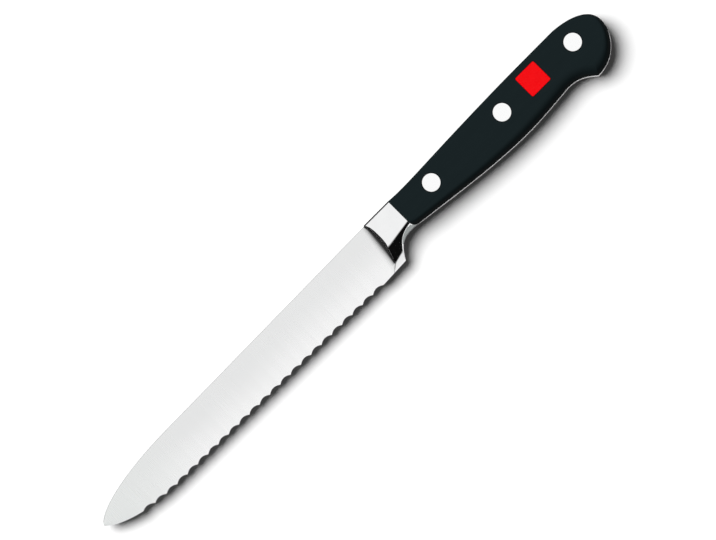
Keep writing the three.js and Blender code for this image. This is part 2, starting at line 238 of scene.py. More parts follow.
# The smaller of two lengths, with the crease where they meet rounded off.
def rounded_min(first, second, rounding):
    if rounding <= 0:
        return min(first, second)
    share = max(0, rounding - abs(first - second)) / rounding
    return min(first, second) - share * share * rounding / 4


def rounded_max(first, second, rounding):
    return -rounded_min(-first, -second, rounding)


def middle_of(node):
    low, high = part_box(node)
    return (low + high) / 2


# A rivet's distance from the shoulder, and its height.
def rivet_spot(rivet):
    middle = (middle_of(f"{rivet}_rivet_socket") - ORIGIN) / MM
    return middle.x, middle.y


# How far a line has left its straight run in the bend at the point: 0 before it, 1 at the point.
# The bend follows an ellipse up to a share, turn, of its quarter, so that the point stays sharp.
def tip_bend(x, run, turn):
    share = turn * clamp(1 - (x - POINT) / run)
    return (1 - math.sqrt(1 - share * share)) / (1 - math.sqrt(1 - turn * turn))


def spine_height(x):
    straight = SPINE_AT_BOLSTER - SPINE_FALL * max(0, CHEEK_FRONT - x)
    blade_length = CHEEK_FRONT - POINT
    drop = SPINE_AT_BOLSTER - SPINE_FALL * blade_length - POINT_HEIGHT - POINT_BLUNTNESS / 2
    return straight - drop * tip_bend(x, SPINE_TIP_RUN, SPINE_TIP_TURN)


# The line through the tips of the teeth, and on to the heel.
def tooth_line(x):
    if x > LAST_TOOTH:
        return mix(EDGE_AT_LAST_TOOTH, EDGE_AT_HEEL, clamp((x - LAST_TOOTH) / (HEEL - LAST_TOOTH)))
    straight = EDGE_AT_LAST_TOOTH + EDGE_RISE * (LAST_TOOTH - x)
    lowest = EDGE_AT_LAST_TOOTH + EDGE_RISE * (LAST_TOOTH - POINT)
    rise = POINT_HEIGHT - POINT_BLUNTNESS / 2 - lowest
    return straight + rise * tip_bend(x, EDGE_TIP_RUN, EDGE_TIP_TURN)


# The edge: a shallow arch between the tips of two teeth, and plain at the point and the heel.
def edge_height(x):
    teeth = (x - FIRST_TOOTH) / SCALLOP_LENGTH
    share = teeth % 1 if 0 < teeth < SCALLOPS else 0
    return tooth_line(x) + SCALLOP_DEPTH * 4 * share * (1 - share)


# Half the blade's thickness: tapered from spine to edge and to the point, with the spine's edge eased.
def blade_half_thickness(x, y):
    low = edge_height(x)
    high = spine_height(x)
    spine = mix(SPINE_THICKNESS, SPINE_THICKNESS_AT_POINT, (CHEEK_FRONT - x) / (CHEEK_FRONT - POINT))
    half = mix(EDGE_THICKNESS, spine, (y - low) / (high - low)) / 2
    ease = min(SPINE_EASE, (high - low) / 3)
    into_ease = clamp(1 - (high - y) / ease)
    return half - ease * (1 - math.sqrt(1 - into_ease * into_ease))


# How far a border has stepped in, and how high it has come, from the tang, 0, to the face, 1.
# A round border is a quarter of an ellipse; a square one is a wall with a narrow eased edge.
def border(rounding, squareness, turn):
    angle = turn * math.pi / 2
    ease_height = TOP_EASE_RISE / (HALF_HANDLE - HALF_TANG)
    on_wall = clamp(2 * turn)
    on_ease = clamp(2 * turn - 1)
    inset = TOP_WALL_LEAN * on_wall + (TOP_EASE - TOP_WALL_LEAN) * on_ease
    height = (1 - ease_height) * on_wall + ease_height * on_ease
    round_inset = rounding * (1 - math.cos(angle))
    return mix(round_inset, inset, squareness), mix(math.sin(angle), height, squareness)


def turns(steps):
    return [step / steps for step in range(steps + 1)]


# The half width of the bolster's flat cheek and lower bevel at a height y.
def cheek_half_width(y, cheek_bottom, slope):
    return rounded_min(HALF_HANDLE, HALF_HANDLE + slope * (y - cheek_bottom), CREASE_ROUNDING * slope)


# The half width of the facet at the heel, which meets the lower bevel at its own height above the edge.
def facet_half_width(y, facet_height):
    edge = GUARD_EDGE_THICKNESS / 2
    top = cheek_half_width(EDGE_AT_HEEL + facet_height, CHEEK_BOTTOM_AT_FRONT, LOWER_BEVEL_SLOPE)
    return min(HALF_HANDLE / 2, edge + (top - edge) * (y - EDGE_AT_HEEL) / facet_height)


# The half width of the bolster with its cheek, lower bevel and facet.
def bolster_half_width(y, cheek_bottom, facet_height):
    cheek = cheek_half_width(y, cheek_bottom, LOWER_BEVEL_SLOPE)
    return rounded_max(cheek, facet_half_width(y, facet_height), FACET_ROUNDING)


# One side of the bolster's section, from its bottom to its top, as pairs of y and half width.
# share is 0 at the shoulder and 1 at the heel.
def bolster_side(share, facet_height):
    bottom = mix(HANDLE_FRONT_BOTTOM, EDGE_AT_HEEL, share ** GUARD_SWEEP)
    rounding = mix(FRONT_ROUNDING, GUARD_ROUNDING, min(1, share * GUARD_ROUNDING_FADE))
    edge = mix(HALF_TANG, GUARD_EDGE_THICKNESS / 2, share)
    cheek_bottom = mix(SHOULDER_BEVEL_TOP, CHEEK_BOTTOM_AT_FRONT, share)
    side = []
    for turn in turns(ROUNDING_STEPS):
        inset, height = border(rounding, ROUND, turn)
        half = bolster_half_width(bottom + inset, cheek_bottom, facet_height)
        side.append((bottom + inset, mix(edge, half, height)))
    bevel_low = bottom + rounding
    bevel_high = max(cheek_bottom, bevel_low + TOP_ROUNDING)
    facet_top = max(EDGE_AT_HEEL + facet_height, mix(bevel_low, bevel_high, FACET_SHARE_LEAST))
    facet_top = min(facet_top, mix(bevel_low, bevel_high, FACET_SHARE_MOST))
    cheek_top = SPINE_AT_BOLSTER - TOP_ROUNDING
    stretches = (
        (bevel_low, facet_top, FACET_SHARES),
        (facet_top, bevel_high, BEVEL_SHARES),
        (bevel_high, cheek_top, CHEEK_SHARES),
    )
    for low, high, shares in stretches:
        for step in shares:
            y = mix(low, high, step)
            side.append((y, bolster_half_width(y, cheek_bottom, facet_height)))
    for turn in reversed(turns(ROUNDING_STEPS)):
        inset, height = border(TOP_ROUNDING, SQUARE, turn)
        side.append((SPINE_AT_BOLSTER - inset, mix(HALF_TANG, HALF_HANDLE, height)))
    return side


# The blade has as many levels as the heel's side, so that the neck can run from one to the other.
FACET_LEVEL = ROUNDING_STEPS + len(FACET_SHARES)
heel_side = bolster_side(1, FACET_HEIGHT_AT_FRONT)
LEVELS = [(y - heel_side[0][0]) / (heel_side[-1][0] - heel_side[0][0]) for y, half in heel_side]


# A point of the blade's near side at one of its levels.
def near_blade(x, level):
    low = edge_height(x)
    y = mix(low, spine_height(x), LEVELS[level])
    return y, blade_half_thickness(x, y)


# A point of the blade's far side: the scallops' bevel from the edge up to the facet level, then the flat.
def far_blade(x, level):
    low = edge_height(x)
    high = spine_height(x)
    bevel_top = low + min(EDGE_BEVEL, (high - low) / 2)
    edge = EDGE_SHARPNESS - blade_half_thickness(x, low)
    if level <= FACET_LEVEL:
        share = LEVELS[level] / LEVELS[FACET_LEVEL]
        y = mix(low, bevel_top, share)
        return y, mix(edge, blade_half_thickness(x, bevel_top), share)
    share = (LEVELS[level] - LEVELS[FACET_LEVEL]) / (1 - LEVELS[FACET_LEVEL])
    y = mix(bevel_top, high, share)
    return y, blade_half_thickness(x, y)


# The front edge of the bolster: bowed along the cheek, leaning forward near the spine and again down to
# the heel's edge.
def bolster_front(y):
    facet_top = EDGE_AT_HEEL + FACET_HEIGHT_AT_FRONT
    up = max(0, (y - CHEEK_BOTTOM_AT_FRONT) / (SPINE_AT_BOLSTER - CHEEK_BOTTOM_AT_FRONT))
    bow = CHEEK_BOW * (1 - abs(2 * up - 1) ** CHEEK_BOW_TURN) - CHEEK_LEAN * up ** CHEEK_LEAN_TURN
    on_bevel = max(0, CHEEK_BOTTOM_AT_FRONT - max(y, facet_top))
    on_facet = max(0, facet_top - y)
    return CHEEK_FRONT + bow - BEVEL_LEAN * on_bevel - FACET_LEAN * on_facet


# How far down a height y of the neck lies: 0 at the spine and 1 at the heel's edge.
def neck_down(y):
    return (SPINE_AT_BOLSTER - y) / (SPINE_AT_BOLSTER - EDGE_AT_HEEL)


# Where a height y of the neck lies: step is 1 where it leaves the blade and 0 at the bolster's front edge.
def neck_x(y, step):
    start = CHEEK_FRONT - mix(NECK_START_AT_SPINE, NECK_START_AT_EDGE, neck_down(y))
    run = max(NECK_RUN_AT_EDGE, bolster_front(y) - start)
    return bolster_front(y) - step * run


def ring(near, far):
    near_points = [Vector((x, y, half)) for x, y, half in near]
    far_points = [Vector((x, y, -half)) for x, y, half in far]
    return near_points + far_points[::-1]


def blade_ring(x_at):
    near = [(x_at(level), *near_blade(x_at(level), level)) for level in range(len(LEVELS))]
    far = [(x_at(level), *far_blade(x_at(level), level)) for level in range(len(LEVELS))]
    return ring(near, far)


# A section of the neck, which leaves the blade in a shallow curve and then rises steeply to the cheek.
# The levels of the far side's bevel move over to those of the heel in the first half of it.
def neck_ring(step):
    sides = []
    for blade_side in (near_blade, far_blade):
        side = []
        for level, (cheek_y, cheek_half) in enumerate(heel_side):
            x = neck_x(cheek_y, step)
            y, half = blade_side(x, level)
            level_y = mix(edge_height(x), spine_height(x), LEVELS[level])
            run = neck_x(cheek_y, 0) - neck_x(cheek_y, 1)
            curve = mix(NECK_CURVE_AT_SPINE, NECK_CURVE_AT_EDGE, neck_down(cheek_y))
            shallow = min(NECK_SHALLOW_MOST, curve * run * run / (cheek_half - half))
            grown = mix((1 - step) ** NECK_HOLLOW, (1 - step) ** 2, shallow)
            side.append((x, mix(y, level_y, min(1, 2 * (1 - step))), mix(half, cheek_half, grown)))
        sides.append(side)
    return ring(*sides)


def bolster_ring(share):
    side = [(HEEL * share, y, half) for y, half in bolster_side(share, FACET_HEIGHT_AT_GUARD)]
    return ring(side, side)


def blade_and_bolster_rings():
    rings = []
    for turn in turns(TIP_STEPS)[:-1]:
        x = POINT + PLAIN_TIP * (1 - math.cos(turn * math.pi / 2))
        rings.append(blade_ring(lambda level: x))
    for step in range(SCALLOPS * SCALLOP_STEPS + 1):
        x = FIRST_TOOTH + step / SCALLOP_STEPS * SCALLOP_LENGTH
        rings.append(blade_ring(lambda level: x))
    for share in turns(HEEL_STEPS)[1:-1]:
        rings.append(blade_ring(lambda level: mix(LAST_TOOTH, neck_x(heel_side[level][0], 1), share)))
    hollow_end = (1 / NECK_STEPS) ** (1 / NECK_HOLLOW)
    for turn in turns(NECK_STEPS)[:-1]:
        rings.append(neck_ring(1 - turn * hollow_end))
    for grown in turns(NECK_STEPS)[1:]:
        rings.append(neck_ring(1 - grown ** (1 / NECK_HOLLOW)))
    for turn in turns(GUARD_STEPS):
        rings.append(bolster_ring(math.cos(turn * math.pi / 2) ** GUARD_CROWDING))
    return rings


def bezier(corners, share):
    while len(corners) > 1:
        corners = [first.lerp(second, share) for first, second in zip(corners, corners[1:])]
    return corners[0]


# A point on a smooth curve through the corners.
def smooth_curve(corners, share):
    stretch = share * (len(corners) - 1)
    index = min(int(stretch), len(corners) - 2)
    before = corners[max(index - 1, 0)]
    first = corners[index]
    second = corners[index + 1]
    after = corners[min(index + 2, len(corners) - 1)]
    within = stretch - index
    first_pull = (second - before) / 2
    second_pull = (after - first) / 2
    bend = (2 * first - 2 * second + first_pull + second_pull) * within ** 3
    lean = (-3 * first + 3 * second - 2 * first_pull - second_pull) * within ** 2
    return bend + lean + first_pull * within + first


# The stretches of the handle's side outline, from the front of its back round the butt to the front of
# its belly: the curve, its corners, its steps, and the border's rounding and squareness at both ends.
def handle_stretches():
    crown = Vector(CROWN)
    butt_end = Vector(BUTT_END)
    hook = Vector(HOOK)
    notch = Vector(NOTCH)
    back = [Vector((0, SPINE_AT_BOLSTER)), Vector(WAIST), Vector(SWELL), Vector(BACK), crown]
    butt_top = [
        crown,
        Vector((mix(crown.x, HANDLE_LENGTH, BUTT_TOP_PULL), crown.y - BUTT_TOP_FALL)),
        Vector((HANDLE_LENGTH, mix(crown.y, butt_end.y, BUTT_UPPER_PULL))),
        butt_end,
    ]
    butt_bottom = [
        butt_end,
        Vector((HANDLE_LENGTH, mix(butt_end.y, hook.y, BUTT_LOWER_PULL))),
        Vector((mix(hook.x, HANDLE_LENGTH, HOOK_REAR_PULL), hook.y)),
        hook,
    ]
    hook_front = [
        hook,
        Vector((mix(hook.x, notch.x, HOOK_FRONT_PULL), mix(hook.y, notch.y, HOOK_FRONT_RISE))),
        Vector((mix(hook.x, notch.x, NOTCH_PULL), notch.y)),
        notch,
    ]
    belly = [notch, Vector(BELLY), Vector(THROAT), Vector((0, HANDLE_FRONT_BOTTOM))]
    top = (TOP_ROUNDING, SQUARE)
    butt = (BUTT_ROUNDING, ROUND)
    under_hook = (HOOK_ROUNDING, ROUND)
    bottom = (BOTTOM_ROUNDING, ROUND)
    front = (FRONT_ROUNDING, ROUND)
    return (
        (smooth_curve, back, BACK_STEPS, top, top),
        (bezier, butt_top, BUTT_STEPS, top, butt),
        (bezier, butt_bottom, BUTT_STEPS, butt, under_hook),
        (bezier, hook_front, HOOK_STEPS, under_hook, bottom),
        (smooth_curve, belly, BELLY_STEPS, bottom, front),
    )


# The outline's points, each with the rounding and squareness of the scales' border there.
def handle_outline():
    points = [(Vector((0, SPINE_AT_BOLSTER)), TOP_ROUNDING, SQUARE)]
    for curve, corners, steps, start, end in handle_stretches():
        for share in turns(steps)[1:]:
            rounding = mix(start[0], end[0], share)
            squareness = mix(start[1], end[1], share)
            points.append((curve(corners, share), rounding, squareness))
    return points


outline = handle_outline()
outline_corners = [corner for corner, rounding, squareness in outline]


# The directions in which the border steps in: straight up or down at the front, and square to the
# outline elsewhere, eased over a short way so that they do not cross inside the hook's corner.
def inward_directions():
    square = [Vector((0, -1))]
    for before, after in zip(outline_corners, outline_corners[2:]):
        along = (after - before).normalized()
        square.append(Vector((along.y, -along.x)))
    square.append(Vector((0, 1)))
    eased = []
    for corner in outline_corners:
        total = Vector((0, 0))
        for other, direction in zip(outline_corners, square):
            total += direction * max(0, HOOK_EASE - (other - corner).length)
        eased.append(total.normalized())
    eased[0] = square[0]
    eased[-1] = square[-1]
    return eased


inward = inward_directions()


# A point of the knife in the frame's metres.
def place(corner):
    return ORIGIN + Vector(corner) * MM


# A closed mesh through rings of equally many points, capped at both ends.
def loft(rings):
    mesh = bpy.data.meshes.new("loft")
    size = len(rings[0])
    faces = []
    for low in range(0, (len(rings) - 1) * size, size):
        for side in range(size):
            next_side = (side + 1) % size
            faces.append((low + side, low + next_side, low + size + next_side, low + size + side))
    faces.append(range(size))
    faces.append(range(len(rings) * size - size, len(rings) * size))
    mesh.from_pydata([corner for each in rings for corner in each], [], faces)
    edit = bmesh.new()
    edit.from_mesh(mesh)
    bmesh.ops.recalc_face_normals(edit, faces=edit.faces)
    edit.to_mesh(mesh)
    edit.free()
    return mesh


def add_object(name, mesh):
    made = bpy.data.objects.new(name, mesh)
    bpy.context.scene.collection.objects.link(made)
    return made


# Joins other meshes to a mesh, cuts them out of it, or keeps what it shares with them.
def carved(mesh, operation, others):
    body = add_object("body", mesh)
    tools = [add_object("tool", other) for other in others]
    for tool in tools:
        step = body.modifiers.new("carve", "BOOLEAN")
        step.operation = operation
        step.solver = "EXACT"
        step.object = tool
    result = bpy.data.meshes.new_from_object(body.evaluated_get(bpy.context.evaluated_depsgraph_get()))
    for used in (body, *tools):
        bpy.data.objects.remove(used)
    return result


def slab(corners, bottom, top):
    return loft([[place((x, y, z)) for x, y in corners] for z in (bottom, top)])


def circle(middle_x, middle_y, radius):
    angles = [2 * math.pi * step / TURN_STEPS for step in range(TURN_STEPS)]
    return [(middle_x + radius * math.cos(angle), middle_y + radius * math.sin(angle)) for angle in angles]


# A round bar along Z on the axis of a rivet.
def bar(rivet, radius, bottom, top):
    return slab(circle(*rivet_spot(rivet), radius), bottom, top)


# The height of the handle's belly near its front.
def belly_height(x):
    for first, second in zip(outline_corners[-2::-1], outline_corners[:0:-1]):
        if first.x >= x:
            return mix(second.y, first.y, (x - second.x) / (first.x - second.x))


# The rounded corner under the front of the scales, which the bolster's steel fills.
def front_corner(clearance):
    bottom = belly_height(SCALE_CORNER_LENGTH)
    below = bottom - BOTTOM_ROUNDING
    length = SCALE_CORNER_LENGTH - clearance
    height = CHEEK_BOTTOM_AT_SHOULDER - bottom - clearance
    corners = [
        (-SCALE_CORNER_LENGTH, CHEEK_BOTTOM_AT_SHOULDER),
        (-SCALE_CORNER_LENGTH, below),
        (SCALE_CORNER_LENGTH, below),
    ]
    for turn in turns(2 * CORNER_STEPS):
        x = SCALE_CORNER_LENGTH - length * math.sin(turn * math.pi / 2)
        y = CHEEK_BOTTOM_AT_SHOULDER - height * math.cos(turn * math.pi / 2)
        corners.append((x, y))
    return slab(corners, -CUT_REACH, CUT_REACH)


# How far the border of the scales lies inside the tang's edge, which is crowned along belly and butt.
def crown_at(corner):
    down = clamp((TANG_CROWN_TOP - corner.y) / TANG_CROWN_RUN)
    return TANG_CROWN * down * clamp(corner.x / TANG_CROWN_RUN)


# The height of a scale's face: flat, but following the bolster's lower bevel at the front.
def face_height(spot):
    slope = LOWER_BEVEL_SLOPE * clamp(1 - spot.x / SCALE_CORNER_LENGTH)
    return cheek_half_width(spot.y, SHOULDER_BEVEL_TOP, slope)


# A scale before its holes: its border is rounded from the tang out to the face.
def scale_blank(side):
    rings = []
    for turn, rim in [(turn, 0) for turn in turns(ROUNDING_STEPS)] + [(1, FACE_RIM)]:
        points = []
        for (corner, rounding, squareness), direction in zip(outline, inward):
            crown = crown_at(corner)
            inset, height = border(rounding - crown, squareness, turn)
            spot = corner + direction * (crown + inset + rim)
            spot.x = max(spot.x, 0)
            points.append(place((spot.x, spot.y, side * mix(HALF_TANG, face_height(spot), height))))
        rings.append(points)
    return loft(rings)


# The tang, which reaches a short way forward into the bolster.
def tang():
    rings = []
    for turn in turns(TANG_STEPS):
        height = 2 * turn - 1
        corners = []
        for (corner, rounding, squareness), direction in zip(outline, inward):
            spot = corner + direction * crown_at(corner) * height * height
            corners.append((max(spot.x, 0), spot.y))
        corners += [(TANG_ROOT, HANDLE_FRONT_BOTTOM / 2), (TANG_ROOT, SPINE_AT_BOLSTER / 2)]
        rings.append([place((x, y, height * HALF_TANG)) for x, y in corners])
    return loft(rings)


# The blade, bolster and tang are one piece of steel.
def forging_mesh():
    body = loft([[place(corner) for corner in each] for each in blade_and_bolster_rings()])
    under_scales = [carved(scale_blank(side), "INTERSECT", [front_corner(0)]) for side in (1, -1)]
    body = carved(body, "UNION", [tang(), *under_scales])
    holes = [bar(rivet, SHANK_HOLE_RADIUS, -HALF_HANDLE, HALF_HANDLE) for rivet in RIVETS]
    return carved(body, "DIFFERENCE", holes)


# A rectangle with rounded corners about the inlay's middle.
def inlay_outline(growth):
    middle = (middle_of("inlay") - ORIGIN) / MM
    radius = INLAY_CORNER + growth
    corners = []
    for quarter in range(4):
        side_x = 1 if quarter in (0, 3) else -1
        side_y = 1 if quarter in (0, 1) else -1
        centre_x = middle.x + side_x * (INLAY_LENGTH / 2 - INLAY_CORNER)
        centre_y = middle.y + side_y * (INLAY_HEIGHT / 2 - INLAY_CORNER)
        for turn in turns(CORNER_STEPS):
            angle = (quarter + turn) * math.pi / 2
            corners.append((centre_x + radius * math.cos(angle), centre_y + radius * math.sin(angle)))
    return corners


# A scale with its rivet holes, and on the near side the inlay's pocket.
def scale_mesh(side):
    cuts = [front_corner(SCALE_CORNER_CLEARANCE)]
    for rivet in RIVETS:
        seat, mouth = sorted((side * HEAD_SEAT, side * CUT_REACH))
        cuts.append(bar(rivet, HEAD_RADIUS + HEAD_CLEARANCE, seat, mouth))
        cuts.append(bar(rivet, SHANK_HOLE_RADIUS, -CUT_REACH, CUT_REACH))
    if side > 0:
        floor = HALF_HANDLE - INLAY_THICKNESS
        cuts.append(slab(inlay_outline(INLAY_CLEARANCE), floor, CUT_REACH))
    return carved(scale_blank(side), "DIFFERENCE", cuts)


# Half of a rivet, turned about its own axis, from pairs of radius and height.
def turned(profile, side):
    rings = []
    for radius, z in profile:
        rings.append([Vector((x, y, side * z)) * MM for x, y in circle(0, 0, radius)])
    return loft(rings)


# The rivet's head from its seat in toward the middle of its face, with an eased edge.
def head_profile():
    profile = [(HEAD_RADIUS, HEAD_SEAT)]
    for turn in turns(CORNER_STEPS):
        angle = turn * math.pi / 2
        radius = HEAD_RADIUS - HEAD_EASE * (1 - math.cos(angle))
        profile.append((radius, HALF_HANDLE - HEAD_EASE * (1 - math.sin(angle))))
    return profile + [(share * HEAD_RADIUS, HALF_HANDLE) for share in HEAD_FACE_SHARES]


def socket_mesh():
    bore = [(BORE_RADIUS, HEAD_SEAT), (BORE_RADIUS, SHANK_END)]
    shank = [(SHANK_RADIUS, SHANK_END), (SHANK_RADIUS, HEAD_SEAT)]
    return turned(bore + shank + head_profile(), 1)


def pin_mesh():
    shank = [(PIN_RADIUS, SHANK_END), (PIN_RADIUS, HEAD_SEAT)]
    return turned(shank + head_profile(), -1)


def inlay_mesh():
    rings = [[(x, y, HALF_HANDLE - INLAY_THICKNESS) for x, y in inlay_outline(0)]]
    for turn in turns(CORNER_STEPS):
        angle = turn * math.pi / 2
        z = HALF_HANDLE - INLAY_EASE * (1 - math.sin(angle))
        rings.append([(x, y, z) for x, y in inlay_outline(-INLAY_EASE * (1 - math.cos(angle)))])
    rings.append([(x, y, HALF_HANDLE) for x, y in inlay_outline(-2 * INLAY_EASE)])
    return loft([[place(corner) for corner in each] for each in rings])


# A socket of a node tree. An expression on such sockets adds its Math nodes.
class Field:
    def __init__(self, nodes, socket):
        self.nodes = nodes
        self.socket = socket

    def math(self, operation, first, second):
        return self.nodes.add("ShaderNodeMath", {"operation": operation}, {0: first, 1: second})

    def __add__(self, other):
        return self.math("ADD", self, other)

    def __sub__(self, other):
        return self.math("SUBTRACT", self, other)

    def __rsub__(self, other):
        return self.math("SUBTRACT", other, self)

    def __mul__(self, other):
        return self.math("MULTIPLY", self, other)

    __radd__ = __add__
    __rmul__ = __mul__


# The nodes of a material or of the world.
class Nodes:
    def __init__(self, owner):
        owner.use_nodes = True
        self.tree = owner.node_tree
        self.tree.nodes.clear()

    def add(self, kind, settings, sockets, output=0):
        made = self.tree.nodes.new(kind)
        for name, value in settings.items():
            setattr(made, name, value)
        for name, value in sockets.items():
            if isinstance(value, Field):
                self.tree.links.new(value.socket, made.inputs[name])
            else:
                made.inputs[name].default_value = value
        return Field(self, made.outputs[output]) if made.outputs else None

    # Places on the piece, in millimetres.
    def places(self):
        coordinates = self.add("ShaderNodeTexCoord", {}, {}, "Object")
        return self.stretched(coordinates, (1 / MM, 1 / MM, 1 / MM))

    def stretched(self, vector, factors):
        return self.add("ShaderNodeVectorMath", {"operation": "MULTIPLY"}, {0: vector, 1: factors})

    def noise(self, vector, detail=2.0):
        return self.add("ShaderNodeTexNoise", {}, {"Vector": vector, "Scale": 1.0, "Detail": detail})

    # 0 below the low value, 1 above the high one, and a smooth way between.
    def rise(self, value, low, high):
        sockets = {"Value": value, "From Min": low, "From Max": high}
        return self.add("ShaderNodeMapRange", {"interpolation_type": "SMOOTHSTEP"}, sockets)

    # The three parts of a vector.
    def split(self, vector):
        parts = self.add("ShaderNodeSeparateXYZ", {}, {0: vector}).socket.node.outputs
        return [Field(self, part) for part in parts]

    # Mixes two colours, each either three numbers or a socket. The Mix node has sockets of the same names
    # for every kind of data, so those for colours go by their numbers.
    def blend(self, factor, first, second):
        first, second = (value if isinstance(value, Field) else (*value, 1) for value in (first, second))
        return self.add("ShaderNodeMix", {"data_type": "RGBA"}, {0: factor, 6: first, 7: second}, 2)

    def bump(self, height, depth, strength):
        sockets = {"Height": height, "Distance": depth * MM, "Strength": strength}
        return self.add("ShaderNodeBump", {}, sockets)

    def surface(self, sockets):
        shader = self.add("ShaderNodeBsdfPrincipled", {}, sockets)
        self.add("ShaderNodeOutputMaterial", {}, {"Surface": shader})


def new_finish(name):
    material = bpy.data.materials.new(name)
    return material, Nodes(material)


# Satin-ground steel of blade and tang: lines from spine to edge, a painted highlight by the edge and
# painted shade by the point.
def satin_blade_steel_painted_light():
    material, nodes = new_finish("satin_blade_steel_painted_light")
    places = nodes.places()
    x, y, z = nodes.split(places)
    # Painted highlight lightens the blade from the spine down to the edge; painted shade darkens it towards
    # the point.
    edge = 1 - nodes.rise(y - ORIGIN.y / MM, EDGE_AT_HEEL, PAINTED_HIGHLIGHT_TOP)
    painted_shade_share = 1 - nodes.rise(x - ORIGIN.x / MM, POINT, POINT + PAINTED_SHADE_POINT_RUN)
    lines = nodes.noise(nodes.stretched(places, (4.5, 0.07, 0.07)), 3.0)
    clouds = nodes.noise(nodes.stretched(places, (0.05, 0.09, 0.09)))
    steel = nodes.blend(edge, STEEL_BY_SPINE, STEEL_PAINTED_BRIGHT_BY_EDGE)
    shaded_by_point = nodes.blend(painted_shade_share, steel, STEEL_PAINTED_DIM_BY_POINT)
    lined = nodes.blend(lines * 0.03 + clouds * 0.08, shaded_by_point, STEEL_IN_LINES)
    nodes.surface({
        "Base Color": lined,
        "Metallic": 1.0,
        "Roughness": 0.23 + lines * 0.03 + clouds * 0.06,
        "Normal": nodes.bump(lines, 0.012, 0.012),
    })
    return material


# Polished steel of the bolster, with faint polishing marks along the knife.
def polished_bolster_steel():
    material, nodes = new_finish("polished_bolster_steel")
    places = nodes.places()
    marks = nodes.noise(nodes.stretched(places, (0.15, 6.0, 6.0)), 3.0)
    clouds = nodes.noise(nodes.stretched(places, (0.25, 0.25, 0.25)))
    nodes.surface({
        "Base Color": nodes.blend(clouds, POLISHED_DEEP, POLISHED_BRIGHT),
        "Metallic": 1.0,
        "Roughness": 0.04 + marks * 0.03 + clouds * 0.02,
        "Normal": nodes.bump(marks, 0.008, 0.08),
    })
    return material


# Duller ground steel of the finger guard's underside, with grinding lines across it; its dark grey base is
# painted shade.
def ground_edge_steel_painted_shade():
    material, nodes = new_finish("ground_edge_steel_painted_shade")
    places = nodes.places()
    lines = nodes.noise(nodes.stretched(places, (5.0, 0.5, 0.5)), 3.0)
    clouds = nodes.noise(nodes.stretched(places, (0.3, 0.3, 0.3)))
    nodes.surface({
        "Base Color": nodes.blend(lines * 0.6 + clouds * 0.4, SHADED_GROUND_DARK, SHADED_GROUND_LIGHT),
        "Metallic": 1.0,
        "Roughness": 0.25 + lines * 0.12,
        "Normal": nodes.bump(lines, 0.01, 0.15),
    })
    return material


# Moulded black plastic: a fine grain, and a faint flow of tone along the handle.
def scale_plastic():
    material, nodes = new_finish("scale_plastic")
    places = nodes.places()
    grain = nodes.noise(nodes.stretched(places, (5.0, 5.0, 5.0)), 4.0)
    flow = nodes.noise(nodes.stretched(places, (0.05, 0.4, 0.4)), 3.0)
    nodes.surface({
        "Base Color": nodes.blend(flow * 0.7 + grain * 0.3, PLASTIC_DARK, PLASTIC_LIGHT),
        "Roughness": 0.36 + grain * 0.16 + flow * 0.06,
        "Specular IOR Level": 0.0,
        "Coat Weight": 0.03 + grain * 0.02,
        "Coat Roughness": 0.3,
        "Normal": nodes.bump(grain, 0.03, 0.25),
    })
    return material


# Bright rivet steel with fine turning lines round its middle.
def rivet_steel():
    material, nodes = new_finish("rivet_steel")
    places = nodes.places()
    flat = nodes.stretched(places, (1, 1, 0))
    radius = nodes.add("ShaderNodeVectorMath", {"operation": "LENGTH"}, {0: flat}, "Value")
    rings = nodes.add("ShaderNodeCombineXYZ", {}, {"X": radius * 7.0})
    turning = nodes.noise(rings, 3.0)
    clouds = nodes.noise(nodes.stretched(places, (0.5, 0.5, 0.5)))
    nodes.surface({
        "Base Color": nodes.blend(turning * 0.5 + clouds * 0.5, RIVET_DEEP, RIVET_BRIGHT),
        "Metallic": 1.0,
        "Roughness": 0.12 + turning * 0.08,
        "Normal": nodes.bump(turning, 0.006, 0.15),
    })
    return material


# Glossy red plastic, slightly deeper in places, under a clear coat.
def inlay_red():
    material, nodes = new_finish("inlay_red")
    places = nodes.places()
    depth = nodes.noise(nodes.stretched(places, (0.3, 0.3, 0.3)), 3.0)
    ripple = nodes.noise(nodes.stretched(places, (1.6, 1.6, 1.6)))
    nodes.surface({
        "Base Color": nodes.blend(depth, RED_DEEP, RED_BRIGHT),
        "Roughness": 0.22 + ripple * 0.1,
        "Specular IOR Level": 0.05,
        "Coat Weight": 0.1,
        "Coat Roughness": 0.08,
        "Normal": nodes.bump(ripple, 0.01, 0.2),
    })
    return material


# Whether a ray comes from the camera, and whether it comes by a mirroring surface with no matt one between.
def eye_rays(nodes):
    outputs = nodes.add("ShaderNodeLightPath", {}, {}).socket.node.outputs
    names = ("Is Camera Ray", "Is Glossy Ray", "Diffuse Depth")
    camera, glossy, matt_bounces = (Field(nodes, outputs[name]) for name in names)
    return camera, glossy * matt_bounces.math("LESS_THAN", matt_bounces, 1)


# The camera, the floor and the light, in metres; the point in the middle of the view is in millimetres
VIEW_WIDTH = 0.2514
VIEW_MIDDLE = (-24.4, -3.525, HALF_HANDLE)
VIEW_TILT = math.radians(3)
KNIFE_TURN = math.radians(45)
LENS = 300
SENSOR = 36
FLOOR_SIZE = 0.34
FLOOR_GAP = 0.0001
KEY_DISTANCE = 3
KEY_SIZE = 2.1
KEY_ELEVATION = math.radians(62)
KEY_TURN = math.radians(24)
KEY_POWER = 114
FLOOR_SEEN = (1.06, 1.06, 1.06)
FLOOR_BOUNCE = (0.1, 0.1, 0.1)

